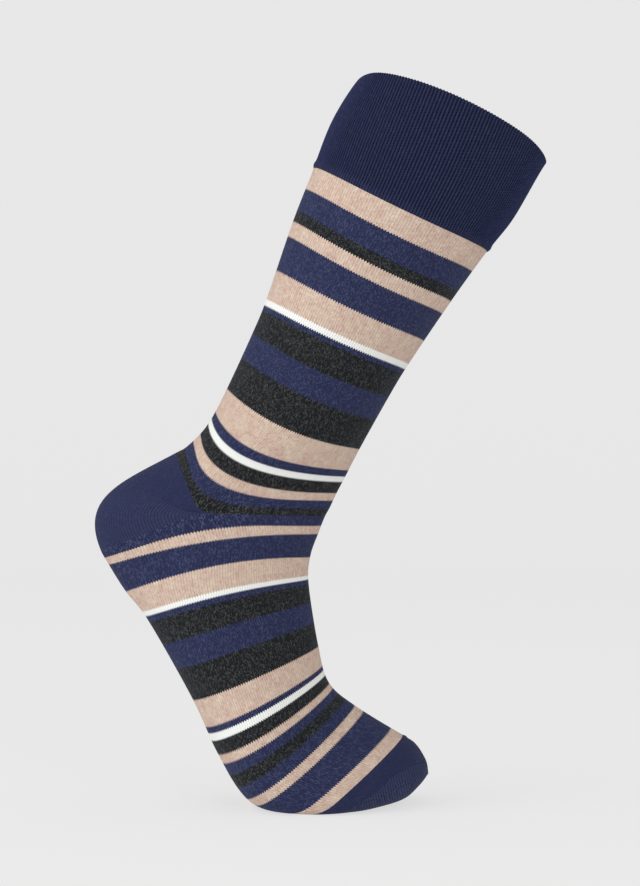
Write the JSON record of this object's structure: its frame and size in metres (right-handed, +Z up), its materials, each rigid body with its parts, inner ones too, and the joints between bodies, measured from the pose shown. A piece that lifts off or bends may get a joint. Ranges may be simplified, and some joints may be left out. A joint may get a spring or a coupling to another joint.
{
  "type": "sock",
  "caption": "Mid-calf knitted dress sock with a ribbed cuff, stripes round the leg and foot, and a plain heel and toe, filled out with the heel raised and the toes down.",
  "frame": {"origin": "centre of the open mouth, in the middle of the cuff's top edge", "axes": "+Z up, +X towards the toes, +Y towards the inner side of the foot, where the big toe is"},
  "size_m": [0.2574, 0.1126, 0.4131],
  "materials": {
    "cuff_rib": "navy combed cotton, knitted in a fine rib, matt",
    "striped_jersey": "plain jersey in navy, black marl, sand melange and white stripes, matt",
    "heel_jersey": "navy plain jersey, knitted denser, matt",
    "toe_jersey": "navy plain jersey, knitted denser, matt"
  },
  "bodies": {
    "root": {"cuff": "cuff_rib", "leg": "striped_jersey", "heel": "heel_jersey", "foot": "striped_jersey", "toe": "toe_jersey"}
  },
  "joints": []
}
